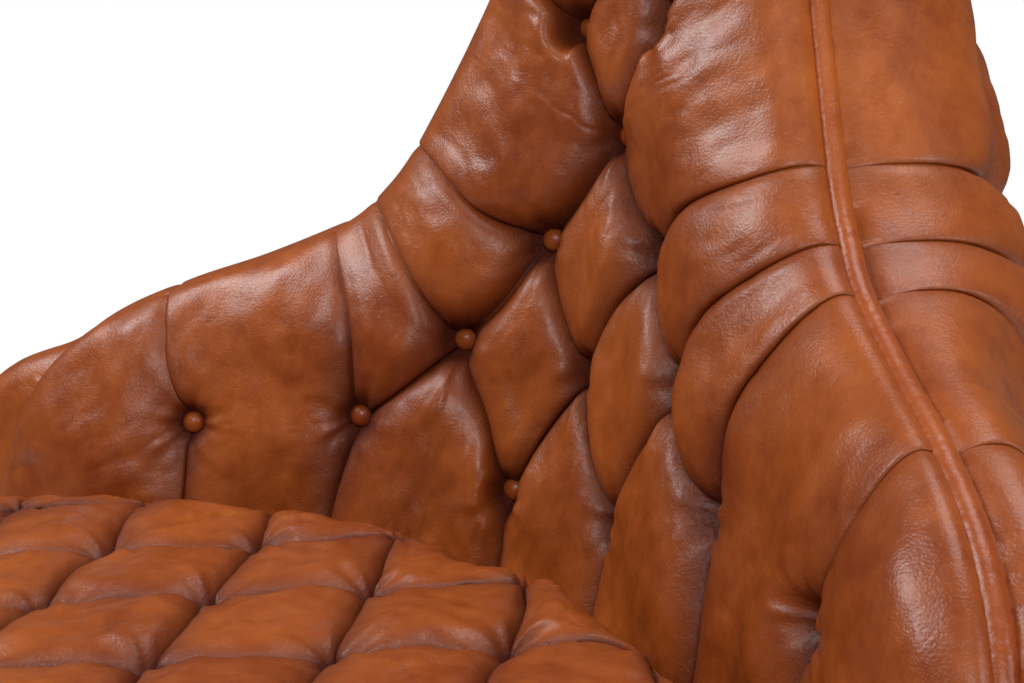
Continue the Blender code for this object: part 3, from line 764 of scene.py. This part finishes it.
def outer_pad(places):
    """Thickness of the outer padding, which flares from the base up to the scroll."""
    scroll = PAD_OUT * (1 - ARM_SLIM * smooth_step(np.abs(places[:, 0]), *ARM_SLIM_SPAN))
    return PAD_BASE + (scroll - PAD_BASE) * smooth_step(places[:, 1], *FLARE_SPAN)


def inner_bulge(places):
    return np.full(len(places), CREST_BULGE)


def outer_bulge(places):
    """The outer roll swells forward at the arm fronts."""
    front = smooth_step(np.abs(places[:, 0]), *FRONT_SPAN) * smooth_step(places[:, 1], *FRONT_TOP_SPAN)
    return CREST_BULGE + (FRONT_BULGE - CREST_BULGE) * front


# Panels as the names round them, once for those across the middle and once for the right half's. A name with
# a star is passed on a side of the panel, and the others are its corners.
INNER_PANELS = (
    (
        "F E D E_l", "D C B C_l", "a_l B* a fa fa_l",
    ),
    (
        "C b a B", "F rT rE E", "C D* E rE rC", "b C rC rB", "g b rB rG", "a b* g fg fa",
        "rG g* fg fk k* rK", "rK k* fk rF rP",
    ),
)
INNER_FEET = (("fa", 0.084), ("fg", 0.236), ("fk", 0.388))
OUTER_PANELS = (
    (
        "F E D E_l", "D H B H_l", "a_l B* a fa fa_l",
    ),
    (
        "E C H D", "C b j H", "H j a B", "b g h j", "g k n h", "F rT rE E", "E rE rC C", "C rC rB b",
        "b rB rG g", "g rG rK k", "a j* h fh fa", "h n fn fh", "n k fk fn", "rK k* fk rF rP",
    ),
)
OUTER_FEET = (("fa", 0.084), ("fh", 0.245), ("fn", 0.338), ("fk", 0.415))


def wall_quilt(tuft_table, panels, foot_table, foot_z, style, pad, roll, full):
    rim = Rim(WALL_EDGE)
    rim.inward *= -1 if rim.inward[len(rim.inward) // 2, 1] > 0 else 1
    spots = np.array([p[:2] for p in tuft_table.values()])
    far, _ = rim.depth(spots)
    top = pad(spots) * roll_arc(np.clip(far / roll, 0, 1), full)
    tufts = {}
    for (name, (around, z, off)), puff_top in zip(tuft_table.items(), top):
        tufts[name] = (around, z, puff_top - off)
        if around:
            tufts[name + MIRROR] = (-around, z, puff_top - off)
    rims, feet = {}, {}
    for name, z in CREST_ENDS.items():
        rims[name] = share_at_height(z)
        if name != "rT":
            rims[name + MIRROR] = 1 - rims[name]
    edge_foot = share_at_height(foot_z)
    rims["rF"] = edge_foot
    rims["rF" + MIRROR] = 1 - edge_foot
    for name, around in foot_table:
        feet[name] = (around, foot_z)
        feet[name + MIRROR] = (-around, foot_z)
    quilt = Quilt(rim, tufts, rims, feet, {**style, "pleated_feet": set(feet)})
    middle, sides = panels
    for names in middle:
        quilt.loop(*names.split())
    for names in sides:
        quilt.loop(*names.split())
        quilt.loop(*[mirrored(name) for name in names.split()])
    return quilt


def further_back(place):
    """Pleats fold so that the panel higher up and further back lies over the other."""
    return place[1] - 0.8 * abs(place[0])


INNER_STYLE = {
    "bow": 0.06, "pleat": 0.44, "pleat_power": 2.3, "notch": 0.0046, "roll_groove": 0.20,
    "foot_groove": 0.50, "puff": 0.056, "puff_round": 2.1, "puff_power": 0.66, "lip_width": 0.0022,
    "fold_width": 0.0070, "lip": 0.0040, "lip_at": 0.0034, "over": further_back, "well": 0.002,
    "well_width": 0.012, "pit": 0.0140, "fan": 0.0012, "dent": 0.0034, "pull": 0.0006, "crease": 0.0010,
}
OUTER_STYLE = {**INNER_STYLE, "roll_groove": 0.30}


def wall_cover(name, sign, quilt, pad, roll, full, bulge, seed, replaced):
    points, faces, tuck_shade, places, off = quilt_surface(quilt, wall_place, sign, pad, roll, seed, bulge, full)
    back_off = np.minimum(BACKING, np.maximum(off, 0.0) * 0.5)
    backs = wall_place(places[:, 0], places[:, 1], sign * back_off)
    points, faces = close_back(points, faces, backs)
    obj = mesh_piece(name, points, faces.tolist(), np.concatenate([tuck_shade, tuck_shade]))
    dress(obj, LEATHER, replaced)


INNER_FOOT_Z = 0.300
OUTER_FOOT_Z = BASE_Z + 0.001
INNER_SHAPE = (inner_pad, ROLL_IN, FULL_IN)
OUTER_SHAPE = (outer_pad, ROLL_OUT, FULL_OUT)
INNER_NODES = ("inner_back_pad", "inner_arm_pad_left", "inner_arm_pad_right")
OUTER_NODES = ("outer_back_pad", "outer_arm_pad_left", "outer_arm_pad_right")

inner_quilt = wall_quilt(INNER_TUFTS, INNER_PANELS, INNER_FEET, INNER_FOOT_Z, INNER_STYLE, *INNER_SHAPE)
wall_cover("inner_cover", -1, inner_quilt, *INNER_SHAPE, inner_bulge, 11, INNER_NODES)
outer_quilt = wall_quilt(OUTER_TUFTS, OUTER_PANELS, OUTER_FEET, OUTER_FOOT_Z, OUTER_STYLE, *OUTER_SHAPE)
wall_cover("outer_cover", 1, outer_quilt, *OUTER_SHAPE, outer_bulge, 31, OUTER_NODES)


# --- buttons ---
BUTTON_R = 0.0092
BUTTON_HIGH = 0.0078
BUTTON_LIFT = 0.001
BUTTON_AIM = 0.02  # off the tuft, to find which way a button faces


def add_button(name, foot, way, seed, replaced):
    """A covered button: a domed mould with leather drawn tight round it."""
    rng = np.random.default_rng(seed)
    rings, around = 12, 40
    theta = np.arange(around) / around * math.tau
    phase = rng.uniform(0, math.tau, 3)
    rows = []
    for angle in np.linspace(0.12, math.pi / 2 + 0.45, rings):
        radius = BUTTON_R * math.sin(min(angle, math.pi / 2)) * (1 - 0.18 * max(angle - math.pi / 2, 0))
        height = BUTTON_HIGH * math.cos(angle)
        gather = 0.018 * (math.sin(min(angle, math.pi / 2)) ** 4)
        wave = 1 + gather * (np.sin(9 * theta + phase[0]) + 0.6 * np.sin(14 * theta + phase[1]))
        ring = (radius * wave * np.cos(theta), radius * wave * np.sin(theta), np.full(around, height))
        rows.append(np.stack(ring, axis=1))
    points = np.concatenate([[[0, 0, BUTTON_HIGH]], *rows, [[0, 0, rows[-1][0, 2]]]])
    faces = []
    index = 1 + np.arange(rings * around).reshape(rings, around)
    for j in range(around):
        k = (j + 1) % around
        faces.append([0, int(index[0, j]), int(index[0, k])])
        faces.append([len(points) - 1, int(index[-1, k]), int(index[-1, j])])
        for i in range(rings - 1):
            faces.append([int(v) for v in (index[i, j], index[i + 1, j], index[i + 1, k], index[i, k])])
    mesh = bpy.data.meshes.new(name)
    mesh.from_pydata(points.tolist(), [], faces)
    turn = Vector(way).to_track_quat("Z", "Y").to_matrix().to_4x4()
    mesh.transform(Matrix.Translation(Vector(foot)) @ turn)
    # Painted shade: the button darkens down its side towards the pit it sits in.
    tuck_shade = np.concatenate([[0.0], np.repeat(np.linspace(0, 0.7, rings) ** 2, around), [0.7]])
    dress(smooth_object(name, mesh, tuck_shade), TRIM, replaced)


def wall_buttons(quilt, tuft_table, sign, face):
    """Buttons at the quilt's tuft points, each where the cover is drawn down to."""
    for i, (name, place) in enumerate(quilt.tufts.items()):
        label = BUTTON_NAMES[name.removesuffix(MIRROR)]
        if not isinstance(label, str):
            letter, column = label
            label = f"{letter}{column if name.endswith(MIRROR) else 10 - column}"
        off = tuft_table[name.removesuffix(MIRROR)][2]
        foot = wall_place(*place, sign * (off + BUTTON_LIFT))
        tip = wall_place(*place, sign * (off + BUTTON_AIM))
        replaced = (f"button_{label}",) if face == "inner" else ()
        add_button(f"{face}_button_{label}", foot, tip - foot, 100 + i, replaced)


wall_buttons(inner_quilt, INNER_TUFTS, -1, "inner")
wall_buttons(outer_quilt, OUTER_TUFTS, 1, "outer")


# --- piping ---
PIPING_SIDES = 18
PIPING_STEPS = 1500
WRINKLES = 14
WRINKLE_DEEP = 0.011  # share of the piping's radius


def piping_tube(name, line, radius, seed):
    """A leather covered cord with fine wrinkles across it."""
    run = np.gradient(line, axis=0)
    run /= np.linalg.norm(run, axis=1)[:, None]
    across = np.zeros_like(run)
    held = np.cross(run[0], [0.0, 0.0, 1.0])
    for i, way in enumerate(run):
        held = held - way * (held @ way)
        held /= np.linalg.norm(held)
        across[i] = held
    other = np.cross(run, across)
    angle = np.arange(PIPING_SIDES) / PIPING_SIDES * math.tau
    far = np.concatenate([[0.0], np.cumsum(np.linalg.norm(np.diff(line, axis=0), axis=1))])[:, None]
    rng = np.random.default_rng(seed)
    wrinkle = np.zeros((len(line), PIPING_SIDES))
    for _ in range(WRINKLES):
        pitch = rng.uniform(0.006, 0.020)
        slant = float(rng.integers(-3, 4))
        wave = np.sin(far / pitch * math.tau + slant * angle[None] + rng.uniform(0, math.tau))
        mask = np.sin(far / rng.uniform(0.05, 0.16) * math.tau + rng.uniform(0, math.tau))
        wrinkle += wave * np.clip(mask, 0, 1)
    swell = radius * (1 + WRINKLE_DEEP * wrinkle)
    spoke = np.cos(angle)[None, :, None] * across[:, None] + np.sin(angle)[None, :, None] * other[:, None]
    points = line[:, None] + swell[..., None] * spoke
    index = np.arange(len(line) * PIPING_SIDES).reshape(len(line), PIPING_SIDES)
    after = np.roll(index, -1, axis=1)
    faces = np.stack([index[:-1], after[:-1], after[1:], index[1:]], -1).reshape(-1, 4).tolist()
    faces += [index[0, ::-1].tolist(), index[-1].tolist()]
    return mesh_piece(name, points.reshape(-1, 3), faces, 0.05)


PIPING_EDGE = WALL_EDGE - inner_quilt.rim.inward * PIPING_OUT
PIPING_LINE = even_line(wall_place(PIPING_EDGE[:, 0], PIPING_EDGE[:, 1], 0.0), PIPING_STEPS)
piping = piping_tube("piping", PIPING_LINE, PIPING_R * PIPING_PLUMP, 5)
dress(piping, TRIM, ("crest_piping",))


# --- the seat ---
SEAT_TOP_Z = 0.408
SEAT_RIM_Z = 0.364
SEAT_FOOT_Z = 0.2768  # the hem hangs over the edge of the deck
SEAT_DECK_Z = 0.281
SEAT_HEM = 0.003
SKIRT_BULGE = 0.006
SEAT_ROLL = 0.045
SEAT_HALF_W = 0.455
SEAT_FRONT_Y = -0.4687
SEAT_CORNER = 0.070
# Points of the outline before the arm: how far in from the side, and how far before it.
SEAT_EAR = ((0.0, 0.075), (0.0, 0.034), (0.016, 0.012))
SEAT_TUFT = 0.022
SEAT_RIM_TUFT = 0.005
SEAT_LEVEL = 0.285  # height at which the seat's outline follows the wall
SEAT_CLEAR = ((0.0, 0.15, 0.35), (0.132, 0.098, 0.052))  # how far off the sheet, by distance round it
CROWN = 0.003
CROWN_HALF = (0.42, 0.30)
CROWN_Y = -0.1887
COLUMN = 0.0646
SEAT_ROWS = (0.0433, -0.0407, -0.1247, -0.2087, -0.2927, -0.3767)


def seat_rim():
    """The seat's outline: wide in front of the arms, and along the wall behind them."""
    arm_end = round_of(CREST[-1][0])
    arm_front_y = wall_place(arm_end, SEAT_LEVEL, 0.0)[1] - 0.040
    right = [(0.0, SEAT_FRONT_Y), (0.20, SEAT_FRONT_Y)]
    for turn in np.linspace(0, math.pi / 2, 7):
        across = SEAT_HALF_W - SEAT_CORNER + SEAT_CORNER * math.sin(turn)
        right.append((across, SEAT_FRONT_Y + SEAT_CORNER - SEAT_CORNER * math.cos(turn)))
    right += [(SEAT_HALF_W - inset, arm_front_y - before) for inset, before in SEAT_EAR]
    around = np.linspace(arm_end - 0.045, 0.0, 9)
    places = wall_place(around, np.full(9, SEAT_LEVEL), -np.interp(around, *SEAT_CLEAR))
    right += [tuple(p[:2]) for p in places]
    line = smooth_line(right, 10)
    line[-1, 0] = 0.0
    whole = np.concatenate([line, (line[::-1] * [-1, 1])[1:]])
    return Rim(even_line(whole, 641), closed=True)


def toward_back(place):
    return place[1] - 0.3 * abs(place[0])


SEAT_STYLE = {
    "bow": 0.05, "pleat": 0.58, "pleat_power": 2.0, "notch": 0.0064, "roll_groove": 0.12,
    "foot_groove": 0.5, "puff": 0.036, "puff_round": 2.0, "puff_power": 0.56, "lip_width": 0.0022,
    "fold_width": 0.0060, "lip": 0.0052, "lip_at": 0.0034, "over": toward_back, "well": 0.002,
    "well_width": 0.008, "pit": 0.004, "fan": 0.0016, "dent": 0.0024, "pull": 0.0012, "crease": 0.0012,
}


def seat_tufts():
    """Tuft points of the seat by (column, row). Those near the wall stand a little further in."""
    moved = {(1, 0): (COLUMN, 0.0393), (3, 0): (0.192, 0.0253), (4, 1): (0.270, -0.0467),
             (5, 2): (0.326, -0.1307), (6, 3): (0.388, -0.2207)}
    made = {}
    for row, y in enumerate(SEAT_ROWS):
        reach = (3, 4, 5, 6, 5, 6)[row]
        for column in range(-reach, reach + 1):
            if (column + row) % 2 == 0:
                continue
            x, depth_y = moved.get((abs(column), row), (abs(column) * COLUMN, y))
            deep = SEAT_RIM_TUFT if (abs(column), row) in moved or row == 0 else SEAT_TUFT
            made[f"s{column}_{row}"] = (math.copysign(x, column) if column else 0.0, depth_y, deep)
    return made


def seat_place(x, y, off):
    """Points on the seat, whose top is slightly crowned."""
    crown = CROWN * (1 - (x / CROWN_HALF[0]) ** 2) * (1 - ((y - CROWN_Y) / CROWN_HALF[1]) ** 2)
    return np.stack([x, y, SEAT_RIM_Z + off + np.clip(crown, 0, 1)], axis=-1)


def seat_quilt():
    rim = seat_rim()
    inside = rim.at(0.0) + rim.inward[0] * 0.01
    if inside[1] < SEAT_FRONT_Y:
        rim.inward *= -1
    tufts = seat_tufts()
    rims = {}

    def rim_foot(name, target):
        rims[name] = rim.share_near(np.array(target))

    def tuft(column, row):
        return f"s{column}_{row}"

    for side in (-1, 1):
        for column in (0, 2, 4, 6):
            rim_foot(f"f{side * column}", (side * column * COLUMN, SEAT_FRONT_Y))
        rim_foot(f"c{side}", (side * (SEAT_HALF_W - 0.02), SEAT_FRONT_Y + 0.02))
        rim_foot(f"e{side * 5}", (side * SEAT_HALF_W, SEAT_ROWS[5]))
        rim_foot(f"e{side * 3}", (side * SEAT_HALF_W, -0.2207))
        for column, row in ((5, 2), (4, 1), (3, 0), (1, 0)):
            x, y, _ = tufts[tuft(side * column, row)]
            rim_foot(f"w{side * column}", (x + side * 0.03, y + 0.03) if column > 1 else (x, 0.3))
    quilt = Quilt(rim, tufts, rims, {}, SEAT_STYLE)
    for row in range(4):
        for column in range(-6, 7):
            right, left = tuft(column + 1, row + 1), tuft(column - 1, row + 1)
            names = (tuft(column, row), right, tuft(column, row + 2), left)
            if all(name in tufts for name in names):
                quilt.loop(*names)
    for column in range(-6, 6, 2):
        middle = tuft(column + 1, 4) + "*"
        quilt.loop(tuft(column, 5), middle, tuft(column + 2, 5), f"f{column + 2}", f"f{column}")
    quilt.loop(tuft(-1, 0), tuft(0, 1) + "*", tuft(1, 0), "w1", "w-1")
    for side in (-1, 1):
        def at(column, row):
            return tuft(side * column, row)

        front, ear, corner, back_ear = f"f{side * 6}", f"e{side * 5}", f"c{side}", f"e{side * 3}"
        walls = [f"w{side * c}" for c in (5, 4, 3, 1)]
        quilt.loop(at(6, 5), front, corner, ear)
        quilt.loop(at(6, 3), at(5, 4) + "*", at(6, 5), ear, back_ear)
        quilt.loop(at(5, 2), at(6, 3), back_ear, walls[0])
        quilt.loop(at(4, 1), at(5, 2), walls[0], walls[1])
        quilt.loop(at(3, 0), at(4, 1), walls[1], walls[2])
        quilt.loop(at(1, 0), at(2, 1) + "*", at(3, 0), walls[2], walls[3])
    return quilt


def loop_order(border):
    """Vertex numbers in order round a closed border."""
    after = {int(a): int(b) for a, b in border}
    order = [int(border[0][0])]
    while after[order[-1]] != order[0]:
        order.append(after[order[-1]])
    return order


def seat_cover():
    """The seat's quilt with a skirt down to the hem, closed below."""
    quilt = seat_quilt()
    height = SEAT_TOP_Z - SEAT_RIM_Z
    points, faces, tuck_shade, places, _ = quilt_surface(quilt, seat_place, 1, height, SEAT_ROLL, 57)
    border = open_border(faces, len(points))
    rim_ids = np.unique(border)
    _, inward = quilt.rim.depth(places[rim_ids])
    rings = []
    for level in np.linspace(0, 1, 9)[1:]:
        z = SEAT_RIM_Z + (SEAT_FOOT_Z - SEAT_RIM_Z) * level
        rings.append((level, z, SKIRT_BULGE * math.sin(math.pi * level)))
    rings += [(1.0, SEAT_FOOT_Z, -SEAT_HEM), (1.0, SEAT_DECK_Z, -SEAT_HEM)]
    all_points, all_tuck_shade, all_faces = [points], [tuck_shade], faces.tolist()
    previous = {int(v): int(v) for v in rim_ids}
    for i, (level, z, bulge) in enumerate(rings):
        ring = points[rim_ids].copy()
        ring[:, 2] = z
        ring[:, :2] -= inward * bulge
        all_points.append(ring)
        # Painted shade: the skirt darkens towards the hem, under the seat's roll.
        all_tuck_shade.append(np.full(len(rim_ids), 0.1 + 0.3 * level))
        start = len(points) + i * len(rim_ids)
        current = {int(v): start + j for j, v in enumerate(rim_ids)}
        for a, b in border.tolist():
            all_faces.append([previous[b], previous[a], current[a], current[b]])
        previous = current
    all_faces.append([previous[v] for v in loop_order(border)])
    obj = mesh_piece("seat_cover", np.concatenate(all_points), all_faces, np.concatenate(all_tuck_shade))
    dress(obj, LEATHER, ("seat_pad",))


seat_cover()


# --- leather bands over the seat rails ---
BAND_SWELL = 0.003
BAND_SLACK = 0.0007


def band(node_name, out, wave_seed):
    """A leather covered band with softly rounded edges and a little slack in it."""
    low, high = (np.array(v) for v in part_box(node_name))
    bm = bmesh.new()
    bmesh.ops.create_cube(bm, size=1.0)
    bmesh.ops.scale(bm, vec=high - low, verts=bm.verts)
    bmesh.ops.translate(bm, vec=(high + low) / 2, verts=bm.verts)
    bmesh.ops.bevel(bm, geom=list(bm.edges), offset=0.006, segments=4, affect="EDGES", profile=0.5)
    axis = 0 if out[1] else 1
    for _ in range(5):
        edges = [e for e in bm.edges if abs((e.verts[0].co - e.verts[1].co)[axis]) > 0.02]
        bmesh.ops.subdivide_edges(bm, edges=edges, cuts=1)
    middle = (low[2] + high[2]) / 2
    for v in bm.verts:
        p = np.array(v.co)
        swell = BAND_SWELL * max(0.0, 1 - ((p[2] - middle) / (0.5 * (high[2] - low[2]))) ** 2)
        slack = BAND_SLACK * float(ripple(p[None], 0.09, wave_seed)[0])
        v.co += Vector(out) * (swell + slack)
    mesh = bpy.data.meshes.new(node_name + "_leather")
    bmesh.ops.recalc_face_normals(bm, faces=bm.faces)
    bm.to_mesh(mesh)
    bm.free()
    dress(smooth_object(node_name + "_leather", mesh, 0.12), LEATHER, (node_name,))


band("front_border", (0, -1, 0), 71)
band("side_border_left", (-1, 0, 0), 72)
band("side_border_right", (1, 0, 0), 73)


# --- carried-over CAD pieces ---
WALNUT = wood("stained_walnut", (0.115, 0.052, 0.024), (0.045, 0.018, 0.008), 0.32, coat=0.5)
BEECH = wood("sawn_beech", (0.66, 0.47, 0.29), (0.52, 0.34, 0.20), 0.65)
STEEL = metal("drawn_steel", (0.55, 0.55, 0.56), 0.22)
HESSIAN = woven("hessian_weave", (0.50, 0.41, 0.27), (0.30, 0.23, 0.14), 180.0)
WEBBING = woven("flat_webbing", (0.22, 0.18, 0.12), (0.12, 0.09, 0.06), 240.0)
BLACK = woven("black_bottoming", (0.03, 0.03, 0.03), (0.010, 0.010, 0.010), 320.0)
CARRIED = (
    (WALNUT, "leg_wood", ("leg_",)),
    (STEEL, "steel", ("glide_", "seat_spring")),
    (HESSIAN, "hessian", ("seat_deck",)),
    (WEBBING, "webbing", ("back_webbing",)),
    (BLACK, "black_cloth", ("dust_cover",)),
    (BEECH, "frame_wood", ("corner_block", "arm_front_post", "arm_rail", "back_post", "back_rail")),
    (BEECH, "frame_wood", ("crest_rail", "front_rail", "side_rail", "wing_rail")),
)
for node_name, obj in NODES.items():
    for finish, slot_name, starts in CARRIED:
        if node_name.startswith(starts):
            obj.data.materials.clear()
            obj.data.materials.append(finish)


# --- stage, lights and camera ---
def make_floor():
    bm = bmesh.new()
    bmesh.ops.create_grid(bm, x_segments=1, y_segments=1, size=2.4)
    mesh = bpy.data.meshes.new("floor")
    bm.to_mesh(mesh)
    bm.free()
    made, _, shader = new_material("pale_floor")
    shader.inputs["Base Color"].default_value = (0.90, 0.90, 0.90, 1.0)
    shader.inputs["Roughness"].default_value = 0.7
    mesh.materials.append(made)
    link("floor", mesh)


def add_area(name, place, target, size, power):
    """A soft rectangular light that shines towards a target."""
    data = bpy.data.lights.new(name, "AREA")
    data.shape = "RECTANGLE"
    data.size, data.size_y = size
    data.energy = power
    obj = link(name, data)
    obj.location = place
    obj.rotation_euler = (Vector(target) - Vector(place)).to_track_quat("-Z", "Y").to_euler()


def make_world():
    """Pure white to the camera, and a dimmer white light on the chair."""
    world = bpy.data.worlds.new("studio")
    bpy.context.scene.world = world
    world.use_nodes = True
    tree = world.node_tree
    tree.nodes.clear()
    lit = node(tree, "ShaderNodeBackground", {"Color": (1.0, 0.98, 0.97, 1.0), "Strength": 0.11})
    seen = node(tree, "ShaderNodeBackground", {"Color": (1, 1, 1, 1), "Strength": 1.0})
    camera_ray = node(tree, "ShaderNodeLightPath").outputs["Is Camera Ray"]
    mix = node(tree, "ShaderNodeMixShader", {0: camera_ray, 1: lit.outputs[0], 2: seen.outputs[0]})
    node(tree, "ShaderNodeOutputWorld", {0: mix.outputs[0]})


CAMERA_PLACE = (0.70, -0.6077, 0.744)
CAMERA_WAY = (-0.6965, 0.6917, -0.1908)


def make_camera():
    data = bpy.data.cameras.new("camera")
    data.lens = 50.0
    data.sensor_width = 36.0
    obj = link("camera", data)
    obj.location = CAMERA_PLACE
    obj.rotation_euler = Vector(CAMERA_WAY).to_track_quat("-Z", "Y").to_euler()
    bpy.context.scene.camera = obj


make_floor()
make_world()
make_camera()
add_area("key", (-1.3, -1.2, 2.3), (0.0, 0.0, 0.6), (1.1, 1.1), 42)
add_area("top", (0.3, 0.5, 2.4), (0.05, 0.1, 0.6), (1.3, 1.0), 18)
add_area("side", (2.2, 0.3, 1.3), (0.1, 0.1, 0.6), (0.6, 1.4), 17)
add_area("fill", (1.5, -1.7, 1.9), (-0.2, 0.1, 0.55), (1.3, 1.0), 30)
bpy.context.scene.view_settings.view_transform = "Standard"
